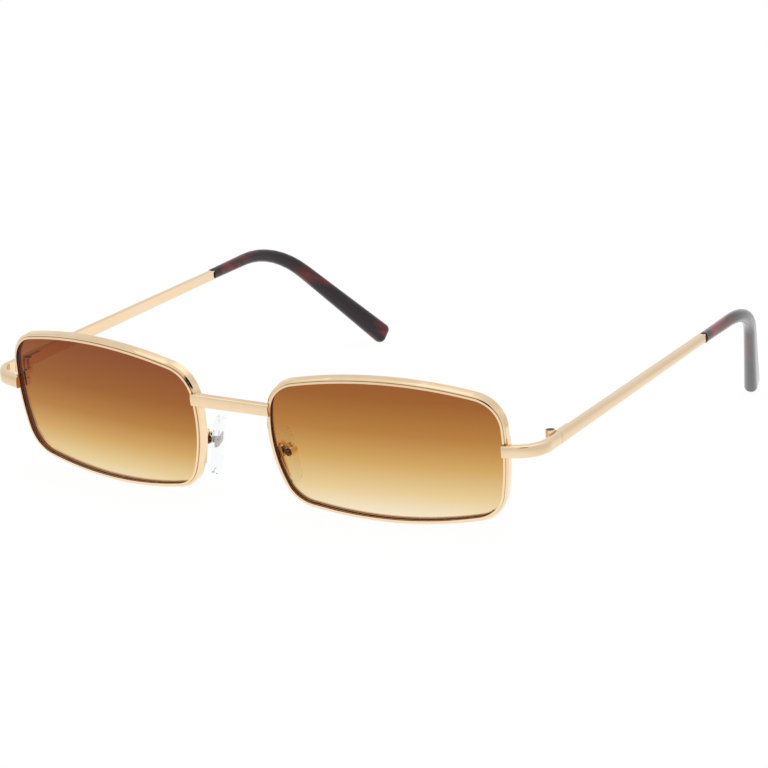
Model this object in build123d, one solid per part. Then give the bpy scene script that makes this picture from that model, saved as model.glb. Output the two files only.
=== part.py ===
"""Narrow rectangle sunglasses with a gold metal full-rim frame and folding temples, in millimetres.

Every piece is drawn in the fitting frame: X across the face, with plus X on the wearer's left, Y back
along the temples, Z up, and the front of the lenses' middle at Y = 0.  Only the left half and the
bridge are drawn, and the right half is their mirror image.  At the end the frame is tilted forwards
until it stands as on a table, on the bottoms of its rims and the ends of its temple tips, and the
origin goes to the middle of its footprint, on the table.
"""
from build123d import *
import math
import os

# Lens, seen square to its front: u runs outward to the temple, v runs up
lens_half_width = 25.0
lens_half_height = 13.55
corner_radius = 6.75
brow_arch = 2.04
sill_arch = 1.71
nasal_arch = 0.97
temporal_arch = 0.42
lens_thickness = 1.4
base_curve_radius = 262.0
nose_half_gap = 8.83
wrap_angle = 9.29

# Corners of the lens box, in order round the lens, as shares of its half width and half height
corner_shares = ((0.987, -1.054), (1.035, 0.929), (-0.974, 1.0), (-0.913, -1.0))

# Rim wire: a thin lip in front, a step down to a bevelled band, and a groove for the lens bevel
rim_width = 1.0
rim_depth = 2.45
lip_width = 0.45
lip_step = 0.28
band_bevel = 0.28
lens_setback = 0.25
groove_front = 0.55
groove_width = 0.8
groove_depth = 0.42
bevel_reach = 0.36
lens_play = 0.03
rim_slit = 0.14

# Bars of the bridge, end pieces and temples: flat at the back, lightly crowned and rounded in front
bar_height = 2.62
bar_thickness = 1.5
bar_crown = 0.14
bar_edge_round = 0.42
bridge_height_on_face = 7.5
bridge_lap = 0.57
bridge_proud = 0.8

# End pieces
end_piece_height_on_face = 1.3
end_piece_lap = 0.1
end_piece_proud = 1.0
end_piece_bend_radius = 6.0

# Joint between the end piece and the temple, at the middle of the bar, from the edge of the lens
joint_out = 6.95
joint_back = 11.15
butt_gap = 0.06
toe_in = 2.9
temple_slope = 7.8

# Temple wire and its tip
wire_length = 71.2
wire_end_height = 1.95
wire_end_thickness = 1.55
bend_beyond_wire = 24.2
tip_bend_radius = 25.4
tip_leg = 40.3
tip_inward_angle = 30.8
tip_drop_angle = 50.2
core_height = 1.1
core_thickness = 0.8
core_short = 9.0
core_play = 0.03
tip_start_height = 2.35
tip_start_thickness = 2.15
tip_end_height = 4.7
tip_end_thickness = 3.1
tip_corner_share = 0.46
tip_swell_power = 1.4
tip_end_round = 1.3
bend_steps = 8
leg_steps = 2
end_steps = 3

# Three-knuckle hinge and its screw
knuckle_radius = 1.1
knuckle_height = 1.1
knuckle_gap = 0.05
hinge_swing_gap = 0.1
leaf_thickness = 0.6
front_leaf_length = 2.6
temple_leaf_length = 6.2
leaf_clear = 0.15
screw_radius = 0.45
screw_head_radius = 0.85
screw_head_height = 0.4
slot_width = 0.22
slot_depth = 0.18
thread_play = 0.015
running_play = 0.04

# Closing block behind the rim, in two halves with a screw from below
block_inside = 0.1
block_width = 1.15
block_depth = 1.1
block_half_height = 1.65
block_hug = 0.5
closing_screw_radius = 0.3
closing_head_radius = 0.46
closing_head_height = 0.35
closing_screw_tail = 0.3

# Nose pads, their arms and their pivots
pad_height = 13.1
pad_width = 5.4
pad_thickness = 1.55
pad_round = 0.66
pad_centre_inside_rim = 0.35
pad_centre_back = 3.0
pad_centre_up = -5.55
pad_splay = 14.0
pad_flare = 9.8
pivot_rise = 1.4
insert_width = 3.6
insert_height = 2.1
insert_thickness = 0.4
insert_play = 0.02
eyelet_radius = 0.58
eyelet_width = 0.8
box_cheek = 0.45
box_radius = 1.05
box_play = 0.05
box_standoff = 0.15
pad_screw_radius = 0.35
pad_screw_head_radius = 0.8
pad_screw_head_height = 0.3
arm_radius = 0.4
arm_sink = 0.1
arm_foot_up = -8.6
arm_corner_up = 0.5
arm_bend_radius = 0.8
arm_end_back = 0.35

# How far cutting tools run past what they cut, and the search for the standing tilt, in degrees
overrun = 1.0
steepest_tilt = 30.0
tilt_tolerance = 0.001


def box_between(low, high):
    """A box from its lowest corner to its highest."""
    size = [b - a for a, b in zip(low, high)]
    return Pos(*low) * Box(*size, align=(Align.MIN, Align.MIN, Align.MIN))


def unit(vector):
    """The direction of a vector."""
    return Vector(vector).normalized()


# Lens outline and the spherical shell that the lens and rim follow

lens_centre = nose_half_gap + lens_half_width
lens_plane = Plane(
    origin=(lens_centre, 0, 0),
    x_dir=(math.cos(math.radians(wrap_angle)), math.sin(math.radians(wrap_angle)), 0),
    z_dir=(math.sin(math.radians(wrap_angle)), -math.cos(math.radians(wrap_angle)), 0),
)


def bowed_side(start, end, arch):
    """One side of the outline: a shallow arc that bows outwards by its arch."""
    along = end - start
    outward = Vector(along.Y, -along.X).normalized()
    return ThreePointArc(start, (start + end) / 2 + outward * arch, end)


def lens_outline(grow=0.0):
    """The lens shape as a flat face, grown all round by the given amount."""
    core = []
    for u_share, v_share in corner_shares:
        u = lens_half_width * u_share - math.copysign(corner_radius, u_share)
        v = lens_half_height * v_share - math.copysign(corner_radius, v_share)
        core.append(Vector(u, v))
    arches = (temporal_arch, brow_arch, nasal_arch, sill_arch)
    sides = [
        bowed_side(start, end, arch)
        for start, end, arch in zip(core, core[1:] + core[:1], arches)
    ]
    return offset(make_face(Curve() + sides), amount=corner_radius + grow)


def dome_drop(u, v, depth=0.0):
    """How far behind the lens's middle the shell lies at a place on the lens."""
    radius = base_curve_radius - depth
    return base_curve_radius - math.sqrt(radius**2 - u**2 - v**2)


def ball(depth):
    """The ball whose surface lies the given depth behind the lens front, poles above and below."""
    return Pos(0, 0, -base_curve_radius) * Rot(90, 0, 0) * Sphere(base_curve_radius - depth)


def prism(flat):
    """A flat shape drawn out far enough to pass right through the rim."""
    reach = dome_drop(lens_half_width, lens_half_height, rim_depth) + rim_depth + overrun
    return extrude(flat, amount=reach, both=True)


def curved_slab(flat, front, back):
    """A flat shape given thickness between two depths behind the lens front."""
    return prism(flat) & (ball(front) - ball(back))


def wall_edges(solid, grow):
    """The long edges of a slab's outer wall, outside the outline of the given growth."""
    inside = lens_outline(grow).face()
    chosen = []
    for edge in solid.edges():
        start, middle, end = edge @ 0, edge @ 0.5, edge @ 1
        flat_run = Vector(end.X - start.X, end.Y - start.Y).length
        if flat_run > band_bevel and not inside.is_inside(Vector(middle.X, middle.Y)):
            chosen.append(edge)
    return chosen


def filled_rim():
    """The outer form of the rim, filled in: the bevelled band and the lip that stands in front of it."""
    band = curved_slab(lens_outline(rim_width), lip_step, rim_depth)
    band = chamfer(wall_edges(band, lip_width), band_bevel)
    return band + curved_slab(lens_outline(lip_width), 0, rim_depth - lip_step)


def make_lens():
    """The sun lens: a curved sheet with a bevel round its edge."""
    sheet = curved_slab(lens_outline(-lens_play), lens_setback, lens_setback + lens_thickness)
    bevel_front = groove_front + lens_play
    bevel_back = groove_front + groove_width - lens_play
    bevel = curved_slab(lens_outline(bevel_reach), bevel_front, bevel_back)
    return lens_plane * (sheet + bevel)


def on_lens(u, v, depth=0.0):
    """A place on the lens front, or behind it, in the fitting frame."""
    return lens_plane.from_local_coords(Vector(u, v, -dome_drop(u, v, depth)))


def edge_reach(v, side):
    """How far out the lens outline reaches at a height, on the temple side (1) or the nose side (-1)."""
    level = Line((0, v), (side * 2 * lens_half_width, v))
    return max(abs(point.X) for point in (level & lens_outline().face()).vertices()) * side


def edge_plane(v, side):
    """A frame at the lens edge: x outward along the lens, y back through the rim, z up."""
    u = edge_reach(v, side)
    lean = math.radians(wrap_angle) + math.asin(u / base_curve_radius)
    return Plane(origin=on_lens(u, v), x_dir=(math.cos(lean), math.sin(lean), 0), z_dir=(0, 0, 1))


rim_form = lens_plane * filled_rim()
temple_edge = edge_plane(end_piece_height_on_face, 1)


def make_rim():
    """The rim: the outer form opened for the lens, grooved inside and slit behind the end piece."""
    groove = curved_slab(lens_outline(groove_depth), groove_front, groove_front + groove_width)
    opened = rim_form - lens_plane * prism(lens_outline()) - lens_plane * groove
    slit = box_between(
        (-overrun, -overrun, -rim_slit / 2), (block_width + overrun, rim_depth + overrun, rim_slit / 2),
    )
    return opened - temple_edge * slit


# Crowned bars


def bar_section(height, thickness):
    """A bar's section: flat back towards minus x, and a lightly crowned, rounded face towards plus x."""
    half = height / 2
    back = -thickness / 2
    wall = thickness / 2 - bar_crown
    crown = ThreePointArc((wall, half), (thickness / 2, 0), (wall, -half))
    outline = Polyline((wall, -half), (back, -half), (back, half), (wall, half)) + crown
    section = make_face(outline)
    return fillet(section.vertices().group_by(Axis.X)[-1], bar_edge_round)


def make_bridge():
    """The bridge: a straight crowned bar whose ends lap on the fronts of both rims."""
    u = edge_reach(bridge_height_on_face, -1)
    rim_front = on_lens(u, bridge_height_on_face).Y
    middle = rim_front - bridge_proud + bar_thickness / 2
    half_length = nose_half_gap + bridge_lap
    start = Plane(
        origin=(-half_length, middle, bridge_height_on_face), x_dir=(0, -1, 0), z_dir=(1, 0, 0)
    )
    bar = extrude(start * bar_section(bar_height, bar_thickness), amount=2 * half_length)
    return bar - rim_form - mirror(rim_form, about=Plane.YZ)


# The end piece leaves the rim along the lens and bends back to the joint.  The bend's own plane slopes
# down to the back, and the hinge pin stands square to that plane.

toe = math.radians(toe_in)
slope = math.radians(temple_slope)
temple_direction = Vector(
    -math.sin(toe) * math.cos(slope), math.cos(toe) * math.cos(slope), -math.sin(slope)
)
lap_start = temple_edge.from_local_coords(Vector(-end_piece_lap, bar_thickness / 2 - end_piece_proud, 0))
lap_direction = temple_edge.x_dir
joint_across = temple_edge.origin.X + joint_out
joint_behind = temple_edge.origin.Y + joint_back


def bend_corner_of_end_piece():
    """Where the end piece's two legs would meet, from their directions seen from above."""
    gap_across = joint_across - lap_start.X
    gap_back = joint_behind - lap_start.Y
    turn = lap_direction.X * math.cos(toe) + lap_direction.Y * math.sin(toe)
    return lap_start + lap_direction * ((gap_across * math.cos(toe) + gap_back * math.sin(toe)) / turn)


end_piece_corner = bend_corner_of_end_piece()
joint_up = unit(lap_direction.cross(temple_direction))
back_leg = (joint_behind - end_piece_corner.Y) / temple_direction.Y
joint_plane = Plane(
    origin=end_piece_corner + temple_direction * back_leg,
    x_dir=temple_direction.cross(joint_up),
    z_dir=joint_up,
)


def make_end_piece():
    """The end piece: from its lap on the rim it runs outward, then bends back to the temple joint."""
    path = FilletPolyline(lap_start, end_piece_corner, joint_plane.origin, radius=end_piece_bend_radius)
    start = Plane(origin=lap_start, x_dir=lap_direction.cross(joint_up), z_dir=lap_direction)
    return sweep(start * bar_section(bar_height, bar_thickness), path=path) - rim_form


# Hinge, in the joint frame: x outward, y back along the temple, z up, zero at the butt joint

bar_inner = -bar_thickness / 2
pin_across = bar_inner - hinge_swing_gap - knuckle_radius
stack_top = knuckle_height + knuckle_height / 2
stack_bottom = -stack_top
leaf_start = knuckle_radius + leaf_clear


def knuckle(low, high):
    """One knuckle of the hinge, round the pin."""
    barrel = Cylinder(knuckle_radius, high - low, align=(Align.CENTER, Align.CENTER, Align.MIN))
    return Pos(pin_across, 0, low) * barrel


def pin_bore(low, high, play):
    """The hole for the hinge screw through a knuckle."""
    bore = Cylinder(screw_radius + play, high - low, align=(Align.CENTER, Align.CENTER, Align.MIN))
    return Pos(pin_across, 0, low) * bore


def make_front_knuckles():
    """The fork on the end piece: two knuckles and the leaf that is brazed to the bar."""
    fork = box_between((bar_inner - leaf_thickness, -front_leaf_length, stack_bottom),
                       (bar_inner, -leaf_start, stack_top))
    lower_knuckle = (stack_bottom, stack_bottom + knuckle_height)
    upper_knuckle = (stack_top - knuckle_height, stack_top)
    for low, high in (lower_knuckle, upper_knuckle):
        tab = box_between((pin_across, -leaf_start, low), (bar_inner, -butt_gap, high))
        fork = fork + (tab + knuckle(low, high))
    fork = fork - pin_bore(stack_bottom, 0, thread_play) - pin_bore(0, stack_top, running_play)
    seat = Cylinder(screw_head_radius + running_play, screw_head_height,
                    align=(Align.CENTER, Align.CENTER, Align.MAX))
    return joint_plane * (fork - Pos(pin_across, 0, stack_top) * seat)


def make_temple_knuckle():
    """The middle knuckle and the leaf that is brazed inside the temple."""
    low = -knuckle_height / 2 + knuckle_gap
    high = knuckle_height / 2 - knuckle_gap
    leaf_half = knuckle_height
    leaf = box_between((bar_inner - leaf_thickness, leaf_start, -leaf_half),
                       (bar_inner, temple_leaf_length, leaf_half))
    tab = box_between((pin_across, 2 * butt_gap, low), (bar_inner, leaf_start, high))
    solid = leaf + tab + knuckle(low, high) - pin_bore(low, high, running_play)
    return joint_plane * (solid - joint_plane.to_local_coords(make_temple()))


def slotted_screw(radius, length, head_radius, head_height):
    """A screw along z with its head on top at zero: a flat, slotted head over a plain shank."""
    head = Cylinder(head_radius, head_height, align=(Align.CENTER, Align.CENTER, Align.MAX))
    shank = Cylinder(radius, length, align=(Align.CENTER, Align.CENTER, Align.MAX))
    slot = box_between((-head_radius, -slot_width / 2, -slot_depth), (head_radius, slot_width / 2, 0))
    return head + shank - slot


def make_hinge_screw():
    """The hinge screw, dropped in from above, its head sunk in the upper knuckle."""
    length = stack_top - stack_bottom
    screw = slotted_screw(screw_radius, length, screw_head_radius, screw_head_height)
    return joint_plane * Pos(pin_across, 0, stack_top) * screw


# Temple: a tapering bar that carries on inside the tip as a thin core

temple_start = joint_plane.origin + temple_direction * butt_gap
bend_corner = temple_start + temple_direction * (wire_length + bend_beyond_wire)
inward = math.radians(tip_inward_angle)
drop = math.radians(tip_drop_angle)
tip_direction = Vector(
    -math.sin(inward) * math.cos(drop), math.cos(inward) * math.cos(drop), -math.sin(drop)
)
tip_end = bend_corner + tip_direction * tip_leg
temple_path = FilletPolyline(temple_start, bend_corner, tip_end, radius=tip_bend_radius)
path_length = temple_path.length


def cross_plane(distance):
    """The plane across the temple's path at a distance along it, its x outward and its z along it."""
    share = distance / path_length
    along = temple_path % share
    sideways = joint_plane.x_dir
    return Plane(origin=temple_path @ share, x_dir=sideways - along * sideways.dot(along), z_dir=along)


def bend_places():
    """Distances along the path of even steps round its bend, both ends of the bend included."""
    arc = temple_path.edges().filter_by(GeomType.CIRCLE)[0]
    start = (arc @ 0 - temple_start).length
    return [start + arc.length * step / bend_steps for step in range(bend_steps + 1)]


def make_core(play=0.0):
    """The flat core that the wire carries on as inside the tip."""
    places = [wire_length - overrun] + bend_places() + [path_length - core_short]
    strip = Rectangle(core_thickness + 2 * play, core_height + 2 * play)
    return loft([cross_plane(place) * strip for place in places], ruled=True)


def make_temple():
    """The temple: from the butt face the bar tapers to the tip, and its core runs on inside the tip."""
    butt = cross_plane(0) * bar_section(bar_height, bar_thickness)
    bar_end = cross_plane(wire_length) * bar_section(wire_end_height, wire_end_thickness)
    return loft([butt, bar_end], ruled=True) + make_core()


def tip_section(place, inset=0.0):
    """The tip's section at a distance along the path, drawn in all round by the inset."""
    swell = ((place - wire_length) / (path_length - wire_length))**tip_swell_power
    height = tip_start_height + (tip_end_height - tip_start_height) * swell
    thickness = tip_start_thickness + (tip_end_thickness - tip_start_thickness) * swell
    outline = RectangleRounded(
        thickness - 2 * inset, height - 2 * inset, (thickness - 2 * inset) * tip_corner_share
    )
    return cross_plane(place) * outline


def make_tip():
    """The temple tip: it swells from a collar to a broad rounded end, with a bore for the core."""
    bend = bend_places()
    leg = path_length - tip_end_round - bend[-1]
    body = [wire_length] + bend + [bend[-1] + leg * step / leg_steps for step in range(1, leg_steps + 1)]
    sections = [tip_section(place) for place in body]
    for step in range(1, end_steps + 1):
        turn = math.radians(90) * step / (end_steps + 1)
        inset = tip_end_round * (1 - math.cos(turn))
        sections.append(tip_section(body[-1] + tip_end_round * math.sin(turn), inset))
    return loft(sections, ruled=True) - make_core(core_play)


# Closing block, in the lens edge frame: x outward, y back, z up

closing_axis = Pos(block_width / 2 - block_inside, rim_depth + block_depth / 2, 0)


def closing_half(low, high, radius):
    """One half of the closing block, hugging the rim's back, bored for the screw."""
    half = box_between(
        (-block_inside, rim_depth - block_hug, low),
        (block_width - block_inside, rim_depth + block_depth, high),
    )
    bore = Cylinder(radius, high - low, align=(Align.CENTER, Align.CENTER, Align.MIN))
    return half - closing_axis * Pos(0, 0, low) * bore


def make_closing_upper():
    """The threaded upper half of the closing block."""
    half = closing_half(rim_slit / 2, block_half_height, closing_screw_radius + thread_play)
    return temple_edge * half - rim_form


def make_closing_lower():
    """The lower half of the closing block, countersunk for the screw's head."""
    half = closing_half(-block_half_height, -rim_slit / 2, closing_screw_radius + running_play)
    seat = Cylinder(closing_head_radius + running_play, closing_head_height,
                    align=(Align.CENTER, Align.CENTER, Align.MIN))
    half = half - closing_axis * Pos(0, 0, -block_half_height) * seat
    return temple_edge * half - rim_form


def make_closing_screw():
    """The screw that draws the two halves together round the lens, put in from below."""
    length = 2 * block_half_height - closing_screw_tail
    screw = slotted_screw(closing_screw_radius, length, closing_head_radius, closing_head_height)
    return temple_edge * closing_axis * Pos(0, 0, -block_half_height) * Rot(180, 0, 0) * screw


# Nose pad, in the pad frame: x back along the nose, y up the pad, z outward, zero at the pad's middle

splay = math.radians(pad_splay)
flare = math.radians(pad_flare)
pad_plane = Plane(
    origin=(nose_half_gap - pad_centre_inside_rim, pad_centre_back, pad_centre_up),
    x_dir=(math.sin(splay), math.cos(splay), 0),
    z_dir=(math.cos(splay) * math.cos(flare), -math.sin(splay) * math.cos(flare), math.sin(flare)),
)
pivot_out = pad_thickness / 2 + box_standoff + box_radius
box_half_width = eyelet_width / 2 + box_play + box_cheek


def pad_insert_form(play=0.0):
    """The metal insert: a plate inside the pad and an eyelet that stands out of it."""
    plate = Pos(0, pivot_rise, 0) * Box(
        insert_width + 2 * play, insert_height + 2 * play, insert_thickness + 2 * play
    )
    stem = box_between(
        (-eyelet_width / 2 - play, pivot_rise - eyelet_radius - play, 0),
        (eyelet_width / 2 + play, pivot_rise + eyelet_radius + play, pivot_out),
    )
    eye = Rot(0, 90, 0) * Cylinder(eyelet_radius + play, eyelet_width + 2 * play)
    return plate + stem + Pos(0, pivot_rise, pivot_out) * eye


def cross_bore(radius, half_length):
    """A hole along the pad's pivot."""
    return Pos(0, pivot_rise, pivot_out) * Rot(0, 90, 0) * Cylinder(radius, 2 * half_length)


def make_pad_insert():
    """The insert with its pivot hole."""
    return pad_plane * (pad_insert_form() - cross_bore(pad_screw_radius + running_play, box_half_width))


def make_nose_pad():
    """The clear soft pad, moulded round the insert."""
    outline = RectangleRounded(pad_width, pad_height, pad_width / 2 - pad_round / 2)
    pillow = extrude(outline, amount=pad_thickness / 2, both=True)
    pillow = chamfer(pillow.faces().sort_by(Axis.Z)[-1].edges(), pad_round)
    pillow = fillet(pillow.faces().sort_by(Axis.Z)[0].edges(), pad_round)
    return pad_plane * (pillow - pad_insert_form(insert_play))


def pad_box_block():
    """The outer form of the little round box at the end of the arm."""
    return Pos(0, pivot_rise, pivot_out) * Rot(0, 90, 0) * Cylinder(box_radius, 2 * box_half_width)


def make_pad_box():
    """The pad box: two round cheeks and a back wall that hold the eyelet between them."""
    room_half = eyelet_width / 2 + box_play
    room = box_between(
        (-room_half, pivot_rise - box_radius - overrun, 0),
        (room_half, pivot_rise + box_radius + overrun, pivot_out + eyelet_radius + box_play),
    )
    bored = pad_box_block() - room - cross_bore(pad_screw_radius + thread_play, box_half_width)
    return pad_plane * bored


def make_pad_screw():
    """The pad's screw, its head to the front, through both cheeks and the eyelet."""
    length = 2 * box_half_width + pad_screw_head_height
    screw = slotted_screw(pad_screw_radius, length, pad_screw_head_radius, pad_screw_head_height)
    head_out = Pos(-box_half_width - pad_screw_head_height, pivot_rise, pivot_out)
    return pad_plane * head_out * Rot(0, -90, 0) * screw


def arm_foot_place(up):
    """A place on the wire of the arm's foot, half sunk in the back of the rim, at a height."""
    u = edge_reach(up, -1) - rim_width / 2
    return on_lens(u, up, rim_depth) + Vector(0, arm_radius - arm_sink, 0)


def make_pad_arm():
    """The pad arm: its foot runs up the back of the rim, then it hooks over and down into the box."""
    foot, corner = arm_foot_place(arm_foot_up), arm_foot_place(arm_corner_up)
    end = pad_plane.from_local_coords(Vector(arm_end_back, pivot_rise, pivot_out))
    path = FilletPolyline(foot, corner, end, radius=arm_bend_radius)
    side = (corner - foot).cross(end - corner)
    bend = path.edges().filter_by(GeomType.CIRCLE)[0]
    rings = [
        Plane(origin=bend @ (step / bend_steps), x_dir=side, z_dir=bend % (step / bend_steps))
        * Circle(arm_radius)
        for step in range(bend_steps + 1)
    ]
    wire = loft(rings, ruled=True)
    wire = wire + extrude(rings[0], amount=-(bend @ 0 - foot).length)
    wire = wire + extrude(rings[-1], amount=(end - bend @ 1).length)
    return wire - rim_form - pad_plane * pad_box_block()


half_pieces = {
    "rim": make_rim(),
    "lens": make_lens(),
    "end_piece": make_end_piece(),
    "hinge_front_knuckles": make_front_knuckles(),
    "hinge_temple_knuckle": make_temple_knuckle(),
    "hinge_screw": make_hinge_screw(),
    "temple": make_temple(),
    "temple_tip": make_tip(),
    "closing_block_upper": make_closing_upper(),
    "closing_block_lower": make_closing_lower(),
    "closing_screw": make_closing_screw(),
    "nose_pad": make_nose_pad(),
    "pad_insert": make_pad_insert(),
    "pad_box": make_pad_box(),
    "pad_screw": make_pad_screw(),
    "pad_arm": make_pad_arm(),
}
pieces = {"bridge": make_bridge()}
for name, piece in half_pieces.items():
    pieces["left_" + name] = piece
    pieces["right_" + name] = mirror(piece, about=Plane.YZ)


# Standing on a table: tilted until the rims and the tips touch it together


def lowest(piece, tilt):
    """How low a piece reaches with the frame tilted forwards by an angle."""
    return (Rot(tilt, 0, 0) * piece).bounding_box().min.Z


tilt_low, tilt_high = 0, steepest_tilt
while tilt_high - tilt_low > tilt_tolerance:
    tilt = (tilt_low + tilt_high) / 2
    if lowest(half_pieces["temple_tip"], tilt) < lowest(half_pieces["rim"], tilt):
        tilt_low = tilt
    else:
        tilt_high = tilt

tilted = Compound([Rot(tilt, 0, 0) * piece for piece in pieces.values()])
reach = tilted.bounding_box()
standing = Pos(0, -(reach.min.Y + reach.max.Y) / 2, -reach.min.Z) * Rot(tilt, 0, 0)

os.makedirs("parts", exist_ok=True)
for name, piece in pieces.items():
    export_step(standing * piece, f"parts/{name}.step")

print(f"tilt {tilt:.3f} degrees, shift back {-(reach.min.Y + reach.max.Y) / 2:.4f}, up {-reach.min.Z:.4f}")
print("overall size", reach.size)
for label, plane, place, axis in (
    ("temple hinge", joint_plane, Vector(pin_across, 0, 0), Vector(0, 0, 1)),
    ("pad pivot", pad_plane, Vector(0, pivot_rise, pivot_out), Vector(1, 0, 0)),
):
    at = (standing * Pos(plane.from_local_coords(place))).position
    ahead = (standing * Pos(plane.from_local_coords(place + axis))).position
    print(label, "at", at, "along", ahead - at)
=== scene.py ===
# %% [markdown]
# # Narrow rectangle sunglasses
#
# A pair of thin gold wire sunglasses with narrow curved lenses.
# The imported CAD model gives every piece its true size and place.
# This lesson gives those pieces their finishes: plated gold, dyed plastic,
# dark tortoise acetate and small steel screws. The soft nose pads are
# modelled here from the start, because a small domed pad of clear silicone
# is easier to shape in Blender than in a solid modeller.
# The frame is loaded first, because everything else is placed around it.

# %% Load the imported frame
import math

import bpy
from mathutils import Matrix, Vector


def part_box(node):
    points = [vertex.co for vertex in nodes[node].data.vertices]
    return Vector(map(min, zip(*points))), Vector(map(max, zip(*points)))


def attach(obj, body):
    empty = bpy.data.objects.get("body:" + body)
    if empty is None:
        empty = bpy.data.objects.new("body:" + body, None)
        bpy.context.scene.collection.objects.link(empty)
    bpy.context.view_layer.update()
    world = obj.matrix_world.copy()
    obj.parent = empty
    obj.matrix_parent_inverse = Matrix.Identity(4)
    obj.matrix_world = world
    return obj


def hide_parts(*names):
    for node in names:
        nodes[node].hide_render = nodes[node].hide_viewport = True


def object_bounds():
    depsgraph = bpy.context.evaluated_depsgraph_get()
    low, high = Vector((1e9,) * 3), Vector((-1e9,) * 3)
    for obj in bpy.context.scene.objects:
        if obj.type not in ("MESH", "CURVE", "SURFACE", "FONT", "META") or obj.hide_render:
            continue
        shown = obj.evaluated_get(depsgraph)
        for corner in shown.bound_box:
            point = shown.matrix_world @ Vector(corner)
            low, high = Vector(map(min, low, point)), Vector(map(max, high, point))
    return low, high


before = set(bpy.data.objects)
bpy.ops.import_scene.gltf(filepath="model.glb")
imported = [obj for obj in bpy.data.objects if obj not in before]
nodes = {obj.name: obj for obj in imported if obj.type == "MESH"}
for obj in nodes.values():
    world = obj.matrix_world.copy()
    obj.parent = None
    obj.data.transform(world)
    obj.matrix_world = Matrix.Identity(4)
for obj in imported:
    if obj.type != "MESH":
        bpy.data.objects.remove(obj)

cad_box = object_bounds()
MM = 0.001
print("CAD pieces:", len(nodes))

# %% [markdown]
# ## The camera
#
# The glasses are seen from the wearer's left front, a little from above,
# through a long lens, so the far lens looks almost as big as the near one.
# A camera could be pushed about by hand until it looks right. Here it is set
# from an azimuth, an elevation, a small roll and a distance, which were
# found by fitting the outlines of both lenses.

# %% Camera
AIM = Vector((23.395, -49.272, 25.084)) * MM
AZIMUTH = math.radians(30.665)
ELEVATION = math.radians(14.175)
ROLL = math.radians(-0.375)
DISTANCE = 1089.57 * MM
SENSOR_WIDTH = 36.0
FOCAL_LENGTH = 246.09
NEAREST_SEEN, FURTHEST_SEEN = 0.05, 20.0

to_camera = Vector((math.sin(AZIMUTH) * math.cos(ELEVATION),
                    -math.cos(AZIMUTH) * math.cos(ELEVATION),
                    math.sin(ELEVATION)))
camera_data = bpy.data.cameras.new("camera")
camera_data.sensor_width = SENSOR_WIDTH
camera_data.lens = FOCAL_LENGTH
camera_data.clip_start = NEAREST_SEEN
camera_data.clip_end = FURTHEST_SEEN
camera = bpy.data.objects.new("camera", camera_data)
bpy.context.scene.collection.objects.link(camera)
turn = to_camera.to_track_quat("Z", "Y").to_matrix().to_4x4()
camera.matrix_world = (Matrix.Translation(AIM + to_camera * DISTANCE) @ turn
                       @ Matrix.Rotation(ROLL, 4, "Z"))
bpy.context.scene.camera = camera
bpy.context.scene.view_settings.view_transform = "Standard"
print("camera at", [round(c, 4) for c in camera.matrix_world.translation])

# %% [markdown]
# ## Helpers for node materials
#
# Every finish below is built from shader nodes. Each node could be added and
# joined up in several lines. These helpers add a node with its settings in
# one line, turn a colour picked on screen into the linear values that
# shaders use, and lay a colour ramp over a value.

# %% Helpers for node materials
WHITE = (1.0, 1.0, 1.0, 1.0)


def new_material(name):
    """An empty material with a Principled shader, its node tree and its shader."""
    material = bpy.data.materials.new(name)
    material.use_nodes = True
    tree = material.node_tree
    tree.nodes.clear()
    output = tree.nodes.new("ShaderNodeOutputMaterial")
    shader = tree.nodes.new("ShaderNodeBsdfPrincipled")
    tree.links.new(shader.outputs[0], output.inputs["Surface"])
    return material, tree, shader


def add_node(tree, kind, sockets=None, **settings):
    """Adds a node, sets its properties, and sets or links its input sockets."""
    node = tree.nodes.new(kind)
    for key, value in settings.items():
        setattr(node, key, value)
    for key, value in (sockets or {}).items():
        if isinstance(value, bpy.types.NodeSocket):
            tree.links.new(value, node.inputs[key])
        else:
            node.inputs[key].default_value = value
    return node


def math_node(tree, operation, first, second=0.0):
    """The result of a Math node on two sockets or numbers."""
    return add_node(tree, "ShaderNodeMath", {0: first, 1: second}, operation=operation).outputs[0]


def linear(red, green, blue):
    """A colour picked on screen, 0 to 255, taken off the screen's sRGB curve."""
    out = []
    for value in (red, green, blue):
        v = value / 255.0
        out.append(v / 12.92 if v <= 0.04045 else ((v + 0.055) / 1.055) ** 2.4)
    return (*out, 1.0)


def grey(value):
    """A grey of the same strength in all three colours."""
    return (value, value, value, 1.0)


def mix_colours(tree, share, first, second):
    """Two colours mixed by a share; a Mix node has its colours at inputs 6 and 7 and at output 2."""
    node = add_node(tree, "ShaderNodeMix", {0: share, 6: first, 7: second}, data_type="RGBA")
    return node.outputs[2]


def ramp(tree, stops, factor):
    """A colour ramp with (place, colour) stops, driven by a socket."""
    node = add_node(tree, "ShaderNodeValToRGB", {"Fac": factor})
    elements = node.color_ramp.elements
    while len(elements) < len(stops):
        elements.new(1.0)
    for element, (place, colour) in zip(elements, stops):
        element.position = place
        element.color = colour
    return node.outputs["Color"]


# %% [markdown]
# ## The studio
#
# The glasses stand on a white table in a white tent. To the camera, and
# through the lenses, the tent is pure white and the table very nearly, and
# the light that falls on the glasses is plain and soft.
#
# Polished metal shows nothing but its surroundings, so a tent that is white
# all round would make it look like flat paint. A real tent is a little
# dimmer at the horizon, brighter overhead, and it has a dark opening in
# front for the camera. Only mirror-like rays see those differences here.
# The opening matters most: an inside corner of polished metal throws light
# straight back, so each step and joint shows the dark opening as a thin line.
# The opening stays where it is when the glasses are looked at from elsewhere.

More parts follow.
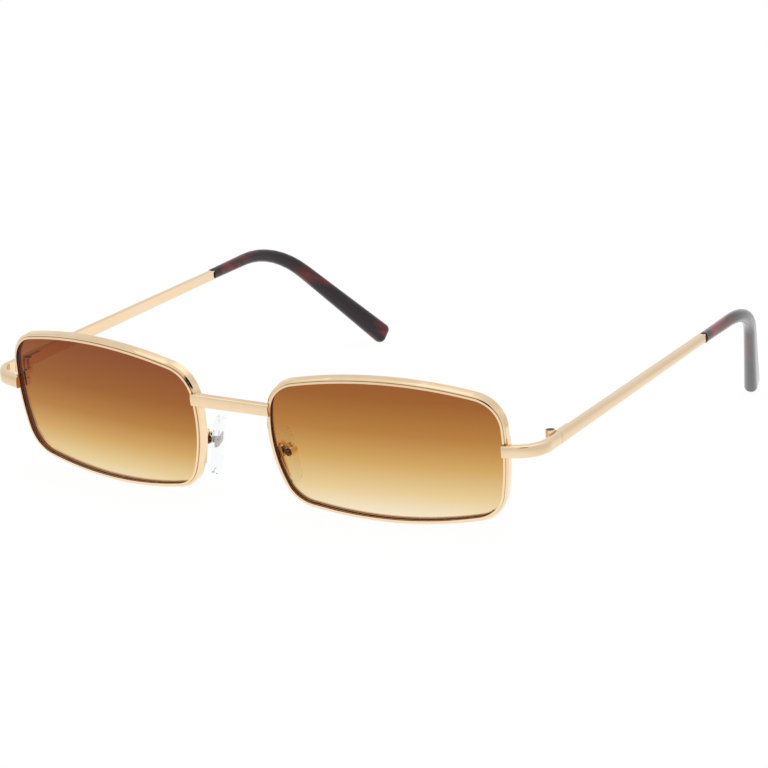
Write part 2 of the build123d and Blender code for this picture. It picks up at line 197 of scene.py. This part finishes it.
# %% Which rays see the studio, and which see it in a mirror
def seen_directly(tree):
    """1 for rays from the camera or through something clear."""
    path = add_node(tree, "ShaderNodeLightPath")
    return math_node(tree, "MAXIMUM", path.outputs["Is Camera Ray"],
                     path.outputs["Is Transmission Ray"])


def mirrored(tree):
    """1 for rays that a shiny surface reflects."""
    return add_node(tree, "ShaderNodeLightPath").outputs["Is Glossy Ray"]


# %% The tent as mirrors show it
OPENING_EDGE, OPENING_CORE = math.cos(math.radians(20)), math.cos(math.radians(12))
OPENING_BLACK = 0.02
TENT_FOOT = -0.2
TENT_PEAK = 1.35
TENT_BRIGHTNESS = [(0.0, 0.80), (0.17, 0.78), (0.35, 0.95), (0.60, 0.84), (0.75, 0.90), (0.92, TENT_PEAK)]

world = bpy.data.worlds.new("studio")
bpy.context.scene.world = world
world.use_nodes = True
studio = world.node_tree
studio.nodes.clear()

outward = add_node(studio, "ShaderNodeTexCoord").outputs["Generated"]
height = add_node(studio, "ShaderNodeSeparateXYZ", {0: outward}).outputs["Z"]
climb = add_node(studio, "ShaderNodeMapRange", {"Value": height, "From Min": TENT_FOOT, "From Max": 1.0})
tent = ramp(studio, [(at, grey(bright / TENT_PEAK)) for at, bright in TENT_BRIGHTNESS],
            climb.outputs["Result"])
near_opening = add_node(studio, "ShaderNodeVectorMath", {0: outward, 1: to_camera}, operation="DOT_PRODUCT")
opening = add_node(studio, "ShaderNodeMapRange",
                   {"Value": near_opening.outputs["Value"], "From Min": OPENING_EDGE,
                    "From Max": OPENING_CORE, "To Min": TENT_PEAK, "To Max": OPENING_BLACK})
room = math_node(studio, "MULTIPLY", tent, opening.outputs["Result"])
print("tent brightness from the foot up:", [bright for at, bright in TENT_BRIGHTNESS])

# %% The world
PLAIN_LIGHT = 0.80

plain_light = add_node(studio, "ShaderNodeBackground", {"Color": WHITE, "Strength": PLAIN_LIGHT})
mirror_light = add_node(studio, "ShaderNodeBackground", {"Color": WHITE, "Strength": room})
backdrop = add_node(studio, "ShaderNodeBackground", {"Color": WHITE, "Strength": 1.0})
lit = add_node(studio, "ShaderNodeMixShader",
               {0: mirrored(studio), 1: plain_light.outputs[0], 2: mirror_light.outputs[0]})
shown = add_node(studio, "ShaderNodeMixShader",
                 {0: seen_directly(studio), 1: lit.outputs[0], 2: backdrop.outputs[0]})
add_node(studio, "ShaderNodeOutputWorld", {0: shown.outputs[0]})
print("world:", world.name, "with plain light", PLAIN_LIGHT)

# %% [markdown]
# ## The white table
#
# The table glows plain white where it is seen directly, with a small share
# of ordinary white paint left in, so that it still takes a faint shadow. In
# the metal it is brightest under the glasses and dims further out, which
# gives the bars their soft shading from top to bottom.

# %% Table
TABLE_SIZE = 3.0
TABLE_DROP = 0.2 * MM
TABLE_PAINT, TABLE_ROUGH = 0.86, 0.9

bpy.ops.object.select_all(action="DESELECT")
bpy.ops.mesh.primitive_plane_add(size=TABLE_SIZE, location=(0, 0, -TABLE_DROP))
table = bpy.context.object
table.name = "white_table"
table_material, table_tree, table_shader = new_material("white_table")
table_shader.inputs["Base Color"].default_value = grey(TABLE_PAINT)
table_shader.inputs["Roughness"].default_value = TABLE_ROUGH
table_shader.inputs["Specular IOR Level"].default_value = 0.0
table.data.materials.append(table_material)
print("table:", TABLE_SIZE, "m square,", TABLE_DROP / MM, "mm under the glasses")

# %% The table's glow
TABLE_GLOW_SHARE = 0.96
POOL_BRIGHT, POOL_DIM, POOL_REACH = 1.12, 0.82, 90 * MM

place = add_node(table_tree, "ShaderNodeNewGeometry").outputs["Position"]
far_out = add_node(table_tree, "ShaderNodeVectorMath", {0: place}, operation="ABSOLUTE").outputs[0]
footprint = Vector((cad_box[1][0], cad_box[1][1], 1.0))
past_edge = add_node(table_tree, "ShaderNodeVectorMath", {0: far_out, 1: footprint}, operation="SUBTRACT")
beyond = add_node(table_tree, "ShaderNodeVectorMath", {0: past_edge.outputs[0], 1: (0, 0, 0)},
                  operation="MAXIMUM")
reach = add_node(table_tree, "ShaderNodeVectorMath", {0: beyond.outputs[0]}, operation="LENGTH")
pool = add_node(table_tree, "ShaderNodeMapRange",
                {"Value": reach.outputs["Value"], "From Min": 0.0, "From Max": POOL_REACH,
                 "To Min": POOL_BRIGHT, "To Max": POOL_DIM})
glow = add_node(table_tree, "ShaderNodeEmission", {"Color": WHITE, "Strength": 1.0})
mirror_glow = add_node(table_tree, "ShaderNodeEmission",
                       {"Color": WHITE, "Strength": pool.outputs["Result"]})
glow_share = math_node(table_tree, "MULTIPLY", seen_directly(table_tree), TABLE_GLOW_SHARE)
in_mirror = add_node(table_tree, "ShaderNodeMixShader",
                     {0: mirrored(table_tree), 1: table_shader.outputs[0], 2: mirror_glow.outputs[0]})
in_view = add_node(table_tree, "ShaderNodeMixShader",
                   {0: glow_share, 1: in_mirror.outputs[0], 2: glow.outputs[0]})
table_tree.links.new(in_view.outputs[0], table_tree.nodes["Material Output"].inputs["Surface"])
print("pool of light reaches", round(POOL_REACH / MM), "mm past the glasses")


# %% [markdown]
# ## Lamps
#
# One big soft box hangs overhead and a smaller one stands to the right of the
# wearer. They shape the dull surfaces and the shadow. They are hidden from
# mirror-like rays, because the tent already gives the metal its highlights.

# %% Lamps
LAMP_AIM = Vector((0, -20, 20)) * MM


def add_lamp(name, stand, size, watts):
    """A soft box that stands at a point and looks at the middle of the front."""
    data = bpy.data.lights.new(name, "AREA")
    data.shape = "RECTANGLE"
    data.size, data.size_y = size
    data.energy = watts
    lamp = bpy.data.objects.new(name, data)
    bpy.context.scene.collection.objects.link(lamp)
    look = (Vector(stand) - LAMP_AIM).to_track_quat("Z", "Y").to_matrix().to_4x4()
    lamp.matrix_world = Matrix.Translation(stand) @ look
    lamp.visible_glossy = False
    print(name, watts, "W")


add_lamp("soft_box_top", stand=(0.10, -0.15, 0.90), size=(0.9, 0.9), watts=5.0)
add_lamp("soft_box_side", stand=(-0.80, -0.45, 0.45), size=(0.6, 0.8), watts=2.5)

# %% [markdown]
# ## Smooth faces on the CAD pieces
#
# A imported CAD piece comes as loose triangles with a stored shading, so it
# looks cut into facets. One could model it again with smooth faces, but its
# shape is already right and must stay. So only the stored shading is dropped,
# and modifiers do the rest. Weld joins the triangles where they meet. Edge
# Split parts them again only at edges that are really sharp. Weighted Normal
# then lets the large faces rule the shading, so that a narrow bevel between
# two of them looks like the soft, polished edge that tumbling gives real
# spectacle parts.

# %% Smooth shading by modifiers
SHARP_ANGLE = math.radians(40)
WELD_DISTANCE = 0.002 * MM


def smooth_node(thing):
    """Gives one CAD node smooth shading between its real edges."""
    mesh = thing.data
    if "custom_normal" in mesh.attributes:
        mesh.attributes.remove(mesh.attributes["custom_normal"])
    mesh.polygons.foreach_set("use_smooth", [True] * len(mesh.polygons))
    weld = thing.modifiers.new("weld", "WELD")
    weld.merge_threshold = WELD_DISTANCE
    split = thing.modifiers.new("edges", "EDGE_SPLIT")
    split.split_angle = SHARP_ANGLE
    split.use_edge_sharp = False
    soften = thing.modifiers.new("soften", "WEIGHTED_NORMAL")
    soften.mode = "FACE_AREA"


for thing in nodes.values():
    smooth_node(thing)
print("smoothed", len(nodes), "pieces")

# %% [markdown]
# ## Giving a material to pieces
#
# Most pieces exist once on the wearer's left and once on the right, with the
# same name after the side. So a short name stands for both of them.

# %% Giving a material to pieces
def give(material, *names):
    """Puts one material on the CAD nodes with these names, on both sides."""
    for name in names:
        for full in ([name] if name in nodes else ["left_" + name, "right_" + name]):
            slots = nodes[full].data.materials
            slots.clear()
            slots.append(material)
    print(material.name, "on", ", ".join(names))


# %% [markdown]
# ## Gold plating
#
# The frame is nickel alloy wire and bar under thin pale gold plating,
# polished before it is plated. A metal has no colour besides its mirror, so
# the shader is a full metal with a pale warm colour. The polish isn't quite
# even: a slow noise moves the tint and the roughness a little, and a shallow
# bump gives the faint ripple of a tumbled surface. Narrow corners get painted
# shade: an Ambient Occlusion node with a very short reach finds them, and
# they are painted brown there. The temples and the small soldered parts are
# drawn or stamped, so they are a touch rougher, and their marks run from
# front to back, as the temples do.

# %% The recipe for gold
DEEPER_SHARE = (0.97, 0.95, 0.90)
ROUGH_LEAST, ROUGH_MOST = 0.85, 1.2
CLOUD_SCALE, RIPPLE_SCALE = 260.0, 900.0
TINT_THIN, TINT_THICK = 0.35, 0.65
POLISH_THIN, POLISH_THICK = 0.3, 0.7
RIPPLE_STRENGTH, RIPPLE_HEIGHT = 0.010, 0.1 * MM
CREVICE_REACH, CREVICE_RAYS = 0.32 * MM, 8
# Painted shade: the brown that narrow corners are painted with.
CORNER_SHADE_BROWN = linear(92, 58, 30)
SHUT_IN, OPEN_ENOUGH = 0.40, 0.78


def gold_material(name, colour, rough, stretch=(1, 1, 1)):
    """A polished metal whose tint, polish and ripple vary a little, with painted shade in its corners."""
    material, tree, shader = new_material(name)
    coordinates = add_node(tree, "ShaderNodeTexCoord").outputs["Object"]
    drawn = add_node(tree, "ShaderNodeMapping", {"Vector": coordinates, "Scale": stretch}).outputs[0]
    cloud = add_node(tree, "ShaderNodeTexNoise", {"Vector": drawn, "Scale": CLOUD_SCALE, "Detail": 3.0})
    deeper = tuple(part * share for part, share in zip(colour, DEEPER_SHARE)) + (1,)
    tint = ramp(tree, [(TINT_THIN, deeper), (TINT_THICK, colour)], cloud.outputs["Fac"])
    # Painted shade: the Ambient Occlusion finds narrow corners, and the mix paints them brown.
    crevice = add_node(tree, "ShaderNodeAmbientOcclusion", {"Distance": CREVICE_REACH},
                       samples=CREVICE_RAYS)
    unshaded_share = add_node(tree, "ShaderNodeMapRange",
                       {"Value": crevice.outputs["AO"], "From Min": SHUT_IN, "From Max": OPEN_ENOUGH})
    tint_with_corner_shade = mix_colours(tree, unshaded_share.outputs["Result"], CORNER_SHADE_BROWN, tint)
    tree.links.new(tint_with_corner_shade, shader.inputs["Base Color"])
    polish = add_node(tree, "ShaderNodeMapRange",
                      {"Value": cloud.outputs["Fac"], "From Min": POLISH_THIN, "From Max": POLISH_THICK,
                       "To Min": rough * ROUGH_LEAST, "To Max": rough * ROUGH_MOST})
    tree.links.new(polish.outputs["Result"], shader.inputs["Roughness"])
    fine = add_node(tree, "ShaderNodeTexNoise", {"Vector": drawn, "Scale": RIPPLE_SCALE, "Detail": 1.0})
    bump = add_node(tree, "ShaderNodeBump",
                    {"Strength": RIPPLE_STRENGTH, "Distance": RIPPLE_HEIGHT, "Height": fine.outputs["Fac"]})
    tree.links.new(bump.outputs["Normal"], shader.inputs["Normal"])
    shader.inputs["Metallic"].default_value = 1.0
    return material


# %% Gold on the bars and the small soldered parts
PALE_GOLD = linear(238, 213, 179)
POLISHED_ROUGH, DRAWN_ROUGH = 0.075, 0.13
DRAWN_STRETCH = (1, 0.12, 1)

give(gold_material("polished_gold", PALE_GOLD, POLISHED_ROUGH), "bridge", "end_piece")
give(gold_material("drawn_gold", PALE_GOLD, DRAWN_ROUGH, DRAWN_STRETCH),
     "temple", "hinge_front_knuckles", "hinge_temple_knuckle",
     "closing_block_upper", "closing_block_lower", "pad_arm", "pad_box")

# %% [markdown]
# ## The inside of the rims
#
# The rims are made of the same gold. The wall that faces the lens lies in the
# shade of the lens and the groove, and beside a brown lens that shade looks
# nearly black, so it is painted on. Here the rim's material is the gold again,
# with one mask more: faces that look towards the middle of the lens, as deep as
# the lens goes, are painted dark brown as shade. The depth is measured from the
# middle of the ball that the lens is a part of.
# That ball's middle lies straight behind the lens, and the lens looks a
# little outward, round the face, and a little down.

# %% The ball that the lens is a part of
BALL_RADIUS = 262.0 * MM
LENS_WRAP, LENS_LEAN = math.radians(9.29), math.radians(12.2)
RIM_MIDDLE = Vector((33.83, -67.72, 16.0)) * MM
lens_back = Vector((-math.sin(LENS_WRAP), math.cos(LENS_WRAP) * math.cos(LENS_LEAN),
                    math.cos(LENS_WRAP) * math.sin(LENS_LEAN)))
ball_middle = RIM_MIDDLE + lens_back * BALL_RADIUS
print("middle of the left lens's ball, mm:", [round(c / MM, 2) for c in ball_middle])

# %% Rims
DARK_DEPTH = 2.0 * MM
FACES_LENS = -0.25
# Painted shade: the dark brown of the rim's wall beside the lens.
WALL_SHADE_BROWN = linear(92, 56, 30)


def rim_material(name, side):
    """The polished gold with painted shade on the wall beside the lens; side is 1 on the left and -1 on the
    right.
    """
    material = gold_material(name, PALE_GOLD, POLISHED_ROUGH)
    tree = material.node_tree
    shader = tree.nodes["Principled BSDF"]
    gold = shader.inputs["Base Color"].links[0].from_socket
    flip = Vector((side, 1, 1))
    coordinates = add_node(tree, "ShaderNodeTexCoord")
    place = coordinates.outputs["Object"]
    deep = add_node(tree, "ShaderNodeVectorMath", {0: place, 1: ball_middle * flip}, operation="DISTANCE")
    outward = add_node(tree, "ShaderNodeVectorMath", {0: place, 1: RIM_MIDDLE * flip}, operation="SUBTRACT")
    straight = add_node(tree, "ShaderNodeVectorMath", {0: outward.outputs[0]}, operation="NORMALIZE")
    facing = add_node(tree, "ShaderNodeVectorMath",
                      {0: straight.outputs[0], 1: coordinates.outputs["Normal"]}, operation="DOT_PRODUCT")
    inward = math_node(tree, "LESS_THAN", facing.outputs["Value"], FACES_LENS)
    beside_lens = math_node(tree, "GREATER_THAN", deep.outputs["Value"], BALL_RADIUS - DARK_DEPTH)
    gold_with_wall_shade = mix_colours(tree, math_node(tree, "MULTIPLY", inward, beside_lens), gold, WALL_SHADE_BROWN)
    tree.links.new(gold_with_wall_shade, shader.inputs["Base Color"])
    return material


give(rim_material("rim_gold_left", 1), "left_rim")
give(rim_material("rim_gold_right", -1), "right_rim")

# %% [markdown]
# ## Screws and the metal plate in the pads
#
# The screws are plated darker than the frame, and the little stamped plate
# inside each pad is plain bright steel. They use the same recipe as the gold,
# since only the colour and the polish differ.

# %% Steel
SCREW_BROWN, SCREW_ROUGH = linear(96, 74, 58), 0.20
PLATE_GREY, PLATE_ROUGH = linear(186, 184, 182), 0.24

give(gold_material("screw_steel", SCREW_BROWN, SCREW_ROUGH), "hinge_screw", "closing_screw", "pad_screw")
give(gold_material("plate_steel", PLATE_GREY, PLATE_ROUGH), "pad_insert")

# %% [markdown]
# ## Gradient lenses
#
# The lenses are clear polished plastic, dipped in dye and drawn out slowly,
# so the brown is deepest at the brow and almost gone at the bottom. One
# could paint that on a picture. Here the shader is clear plastic whose
# colour follows the height in object coordinates. The ground edge of a dyed
# lens is matt and looks almost black, partly because light crosses a lot of
# dye there and partly from the shade of the rim's groove, which is painted on:
# faces that don't look forwards or backwards become an opaque brown, darkest
# at the brow. From inside the plastic those walls would be perfect mirrors,
# whatever their colour, so the shader makes them a rough brown metal, which
# keeps its colour at every angle. The walls also glow faintly with a painted
# brown light, an emission.
# The right lens is drawn a little darker than the left: both use the same
# ramp of browns, and the right lens goes further along it.
# On that ramp 0 is undyed plastic and 1 is the brow of the left lens. The
# index of refraction is lower than real plastic has, so the lens mirrors less
# of the white studio over its browns.

# %% The dyes
DEEPEST_DYE = 1.30
DYE = [(0.02, linear(247, 233, 207)), (0.20, linear(232, 205, 150)), (0.42, linear(210, 166, 96)),
       (0.63, linear(182, 126, 61)), (0.87, linear(158, 96, 42)), (1.21, linear(140, 77, 40))]
# The walls' deep dye together with painted shade of the rim's groove.
EDGE_DYE_AND_SHADE = [(0.02, linear(160, 118, 80)), (0.15, linear(126, 80, 44)), (0.40, linear(100, 50, 18)),
            (1.0, linear(80, 34, 10))]
# Painted glow: the brown light that the lens walls give off as emission.
PAINTED_EDGE_GLOW = [(0.02, linear(88, 62, 40)), (0.15, linear(80, 46, 22)), (0.40, linear(92, 48, 18)),
             (1.0, linear(128, 72, 24))]
lens_low, lens_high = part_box("left_lens")[0].z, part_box("left_lens")[1].z
print("lens height, mm:", round((lens_high - lens_low) / MM, 2))

# %% The recipe for a lens
LENS_IOR = 1.22
EDGE_ROUGH = 0.5
ALL_EDGE, ALL_FACE = 0.75, 0.85
lens_axis = Vector((0, -math.cos(LENS_LEAN), -math.sin(LENS_LEAN)))


def lens_material(name, bottom, brow):
    """Plastic dyed as deep as bottom says at its foot and brow at its top, with a dark ground edge, partly
    painted shade, and a painted glow on it.
    """
    material, tree, shader = new_material(name)
    coordinates = add_node(tree, "ShaderNodeTexCoord")
    up = add_node(tree, "ShaderNodeSeparateXYZ", {0: coordinates.outputs["Object"]}).outputs["Z"]
    dip = add_node(tree, "ShaderNodeMapRange", {"Value": up, "From Min": lens_low, "From Max": lens_high})
    soaked = add_node(tree, "ShaderNodeMapRange",
                      {"Value": dip.outputs["Result"], "To Min": bottom / DEEPEST_DYE,
                       "To Max": brow / DEEPEST_DYE})
    dye = ramp(tree, [(at / DEEPEST_DYE, colour) for at, colour in DYE], soaked.outputs["Result"])
    facing = add_node(tree, "ShaderNodeVectorMath",
                      {0: coordinates.outputs["Normal"], 1: lens_axis}, operation="DOT_PRODUCT")
    square = math_node(tree, "ABSOLUTE", facing.outputs["Value"])
    edge = add_node(tree, "ShaderNodeMapRange",
                    {"Value": square, "From Min": ALL_EDGE, "From Max": ALL_FACE,
                     "To Min": 1.0, "To Max": 0.0})
    edge_dye_and_shade = ramp(tree, EDGE_DYE_AND_SHADE, dip.outputs["Result"])
    tree.links.new(mix_colours(tree, edge.outputs["Result"], dye, edge_dye_and_shade), shader.inputs["Base Color"])
    clear = math_node(tree, "SUBTRACT", 1.0, edge.outputs["Result"])
    tree.links.new(clear, shader.inputs["Transmission Weight"])
    matt = math_node(tree, "MULTIPLY", edge.outputs["Result"], EDGE_ROUGH)
    tree.links.new(matt, shader.inputs["Roughness"])
    tree.links.new(edge.outputs["Result"], shader.inputs["Metallic"])
    # Painted glow: the lens walls emit a faint brown light.
    tree.links.new(ramp(tree, PAINTED_EDGE_GLOW, dip.outputs["Result"]), shader.inputs["Emission Color"])
    tree.links.new(edge.outputs["Result"], shader.inputs["Emission Strength"])
    shader.inputs["IOR"].default_value = LENS_IOR
    return material


# %% Dye both lenses
give(lens_material("gradient_lens_left", bottom=0.0, brow=1.0), "left_lens")
give(lens_material("gradient_lens_right", bottom=0.07, brow=DEEPEST_DYE), "right_lens")

# %% [markdown]
# ## Tortoise tips
#
# The tips are acetate, almost black, with a few long clouds of deep red that
# follow the direction in which the plastic flowed. A noise pattern is turned
# to lie along the tip and stretched along it. The red gathers near the
# collar, past the middle and at the very end, so a ramp along the tip is
# added to the noise. The two tips are cut from different places of the sheet,
# so the pattern is moved for the second one. The left tip has been buffed
# brighter, which a clear coat over the plastic shows.

# %% The recipe for tortoise
TIP_RUN = Vector((-0.27, 0.80, -0.53)).normalized()
STREAK_LENGTH, STREAK_SCALE, STREAK_TWIST = 6.5, 330.0, 0.4
RED_ALONG = [(0.02, 0.1), (0.06, 0.9), (0.22, 0.8), (0.32, 0.1), (0.48, 0.1), (0.58, 0.5), (0.68, 0.5),
             (0.76, 0.1), (0.88, 0.2), (1.0, 1.0)]
RED_SHARE = 0.35
TORTOISE = [(0.0, linear(20, 12, 18)), (0.48, linear(30, 16, 22)), (0.60, linear(80, 24, 27)),
            (0.78, linear(124, 42, 42))]
TIP_ROUGH_LEAST, TIP_ROUGH_MOST = 0.16, 0.28
TIP_GLOSS = 0.38
COAT_ROUGH = 0.15
tip_start, tip_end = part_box("left_temple_tip")[0].y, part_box("left_temple_tip")[1].y


def tortoise_material(name, side, shift, buffed):
    """Dark acetate with red streaks; side is 1 on the left and -1 on the right, buffed is its coat."""
    material, tree, shader = new_material(name)
    coordinates = add_node(tree, "ShaderNodeTexCoord").outputs["Object"]
    run = Vector((TIP_RUN.x * side, TIP_RUN.y, TIP_RUN.z))
    along = add_node(tree, "ShaderNodeMapping",
                     {"Vector": coordinates, "Rotation": run.to_track_quat("X", "Z").to_euler(),
                      "Location": shift, "Scale": (STREAK_LENGTH, 1, 1)}, vector_type="TEXTURE")
    clouds = add_node(tree, "ShaderNodeTexNoise",
                      {"Vector": along.outputs[0], "Scale": STREAK_SCALE, "Detail": 3.0,
                       "Distortion": STREAK_TWIST})
    length = add_node(tree, "ShaderNodeSeparateXYZ", {0: coordinates}).outputs["Y"]
    run_along = add_node(tree, "ShaderNodeMapRange",
                         {"Value": length, "From Min": tip_start, "From Max": tip_end})
    gathered = ramp(tree, [(at, grey(red)) for at, red in RED_ALONG], run_along.outputs["Result"])
    more_red = add_node(tree, "ShaderNodeMapRange",
                        {"Value": gathered, "To Min": -RED_SHARE / 2, "To Max": RED_SHARE / 2})
    cloudy = math_node(tree, "ADD", clouds.outputs["Fac"], more_red.outputs["Result"])
    tree.links.new(ramp(tree, TORTOISE, cloudy), shader.inputs["Base Color"])
    grain = add_node(tree, "ShaderNodeMapRange",
                     {"Value": clouds.outputs["Fac"], "To Min": TIP_ROUGH_LEAST, "To Max": TIP_ROUGH_MOST})
    tree.links.new(grain.outputs["Result"], shader.inputs["Roughness"])
    shader.inputs["Specular IOR Level"].default_value = TIP_GLOSS
    shader.inputs["Coat Weight"].default_value = buffed
    shader.inputs["Coat Roughness"].default_value = COAT_ROUGH
    return material


# %% Tortoise on both tips
SECOND_CUT = Vector((13, 4, 2)) * MM

give(tortoise_material("dark_tortoise_left", 1, shift=(0, 0, 0), buffed=0.7), "left_temple_tip")
give(tortoise_material("dark_tortoise_right", -1, shift=SECOND_CUT, buffed=0.0), "right_temple_tip")
print("tips run back from", round(tip_start / MM, 1), "to", round(tip_end / MM, 1), "mm")

# %% [markdown]
# ## Clear silicone
#
# The nose pads are soft clear silicone, almost invisible on white. Silicone
# has an index of refraction of about 1.4. Here it is lower, so the pads bend
# and mirror less light and stay as faint as they are in a white studio. A
# slow noise clouds the polish a little, like skin grease on a real pad.

# %% Silicone
SILICONE_IOR = 1.12
GREASE_SCALE = 400.0
GREASE_LEAST, GREASE_MOST = 0.08, 0.16
SILICONE_TINT = [(0.3, linear(246, 247, 248)), (0.7, linear(252, 252, 253))]


def silicone_material(name):
    """Clear soft rubber with a slightly uneven polish."""
    material, tree, shader = new_material(name)
    coordinates = add_node(tree, "ShaderNodeTexCoord").outputs["Object"]
    cloud = add_node(tree, "ShaderNodeTexNoise",
                     {"Vector": coordinates, "Scale": GREASE_SCALE, "Detail": 2.0})
    polish = add_node(tree, "ShaderNodeMapRange",
                      {"Value": cloud.outputs["Fac"], "To Min": GREASE_LEAST, "To Max": GREASE_MOST})
    tree.links.new(polish.outputs["Result"], shader.inputs["Roughness"])
    tree.links.new(ramp(tree, SILICONE_TINT, cloud.outputs["Fac"]), shader.inputs["Base Color"])
    shader.inputs["Transmission Weight"].default_value = 1.0
    shader.inputs["IOR"].default_value = SILICONE_IOR
    return material


clear_silicone = silicone_material("clear_silicone")
print("made", clear_silicone.name)

# %% [markdown]
# ## Nose pads
#
# A pad is one small solid piece of silicone, moulded round the metal plate
# that carries it. Seen from the nose it is a long round-ended shape. It is
# domed towards the skin and flatter towards the arm. It could be cut from a
# sphere, but then its ends would be too thin. Here a box is bevelled into the
# round-ended outline, both faces are inset and pushed out into shallow domes,
# and a subdivision surface melts the steps away.
#
# The pad is shaped once, lying flat at the origin, where its axes are plain.
# Then it is copied, and each pad is laid in the place of its CAD pad, whose
# lean and flare it takes.

# %% Pad sizes and place
PAD_WIDTH, PAD_HEIGHT, PAD_THICKNESS = 5.4 * MM, 13.1 * MM, 1.55 * MM
PAD_SPLAY, PAD_FLARE = math.radians(14.0), math.radians(9.8)


def pad_matrix(node, side):
    """The pad's place: x back along the nose, y up the pad, z away from the nose."""
    across = Vector((math.cos(PAD_SPLAY) * math.cos(PAD_FLARE),
                     -math.sin(PAD_SPLAY) * math.cos(PAD_FLARE), math.sin(PAD_FLARE)))
    back = Vector((math.sin(PAD_SPLAY), math.cos(PAD_SPLAY), 0))
    lean = Matrix.Rotation(LENS_LEAN, 3, "X")
    mirror = Matrix.Diagonal((side, 1, 1))
    across, back = mirror @ (lean @ across), mirror @ (lean @ back)
    up = across.cross(back) * side
    low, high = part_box(node)
    turn = Matrix((back * side, up, across)).transposed()
    return Matrix.Translation((Vector(low) + Vector(high)) / 2) @ turn.to_4x4()


print("pad, mm:", [round(size / MM, 2) for size in (PAD_WIDTH, PAD_HEIGHT, PAD_THICKNESS)])


# %% [markdown]
# ## Picking faces and edges by their place
#
# By hand, faces and edges are clicked. In a script they are picked by a test
# on their place or normal, so the pick still holds when a size changes.

# %% Picking faces and edges by their place
NEARLY_STRAIGHT = 0.9


def select_only(thing):
    """Deselects everything and makes one object the selected and active one."""
    bpy.ops.object.select_all(action="DESELECT")
    bpy.context.view_layer.objects.active = thing
    thing.select_set(True)


def pick(thing, kind, test):
    """Selects the faces or edges of an object that pass a test, and counts them."""
    bpy.ops.mesh.select_mode(type="FACE" if kind == "polygons" else "EDGE")
    bpy.ops.object.mode_set(mode="OBJECT")
    mesh = thing.data
    for part in (*mesh.vertices, *mesh.edges, *mesh.polygons):
        part.select = False
    chosen = [part for part in getattr(mesh, kind) if test(mesh, part)]
    for part in chosen:
        part.select = True
    bpy.ops.object.mode_set(mode="EDIT")
    return len(chosen)


def upright(mesh, edge):
    """True for the four edges that run through the thickness of the pad."""
    start, end = (mesh.vertices[i].co for i in edge.vertices)
    return abs(start.z - end.z) > PAD_THICKNESS / 2


def looks_along(sign):
    """A test for faces that look straight up (1) or straight down (-1)."""
    return lambda mesh, face: face.normal.z * sign > NEARLY_STRAIGHT


# %% Shape one nose pad
CORNER_CUT, CORNER_STEPS = 2.45 * MM, 5
FIRST_INSET = 0.42 * MM
SECOND_INSET = FIRST_INSET * 1.6
SKIN_DOME, ARM_DOME = 0.16 * MM, 0.05 * MM
MELT_LEVELS = 3

bpy.ops.object.select_all(action="DESELECT")
bpy.ops.mesh.primitive_cube_add(size=1, scale=(PAD_WIDTH, PAD_HEIGHT, PAD_THICKNESS))
left_soft_pad = bpy.context.object
bpy.ops.object.transform_apply(location=True, rotation=True, scale=True)
bpy.ops.object.mode_set(mode="EDIT")
corners = pick(left_soft_pad, "edges", upright)
bpy.ops.mesh.bevel(offset=CORNER_CUT, segments=CORNER_STEPS, affect="EDGES", clamp_overlap=True)

for sign, dome in ((-1, SKIN_DOME), (1, ARM_DOME)):
    pick(left_soft_pad, "polygons", looks_along(sign))
    bpy.ops.transform.translate(value=(0, 0, -sign * dome))
    bpy.ops.mesh.inset(thickness=FIRST_INSET, depth=dome / 2)
    bpy.ops.mesh.inset(thickness=SECOND_INSET, depth=dome / 2)
bpy.ops.mesh.select_all(action="SELECT")
bpy.ops.mesh.remove_doubles(threshold=WELD_DISTANCE)
bpy.ops.mesh.normals_make_consistent(inside=False)
bpy.ops.object.mode_set(mode="OBJECT")

melt = left_soft_pad.modifiers.new("melt", "SUBSURF")
melt.levels = melt.render_levels = MELT_LEVELS
bpy.ops.object.modifier_apply(modifier=melt.name)
bpy.ops.object.shade_smooth()
left_soft_pad.data.materials.append(clear_silicone)
print("corner edges", corners, "faces", len(left_soft_pad.data.polygons),
      "size mm", [round(c / MM, 2) for c in left_soft_pad.dimensions])

# %% Copy the pad and lay both in their places
right_soft_pad = left_soft_pad.copy()
right_soft_pad.data = left_soft_pad.data.copy()
bpy.context.scene.collection.objects.link(right_soft_pad)

for pad, side, word in ((left_soft_pad, 1, "left"), (right_soft_pad, -1, "right")):
    pad.name = pad.data.name = word + "_soft_pad"
    pad.matrix_world = pad_matrix(word + "_nose_pad", side)
    select_only(pad)
    bpy.ops.object.transform_apply(location=True, rotation=True, scale=True)
    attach(pad, word + "_pad")
    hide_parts(word + "_nose_pad")
    print("laid", pad.name)
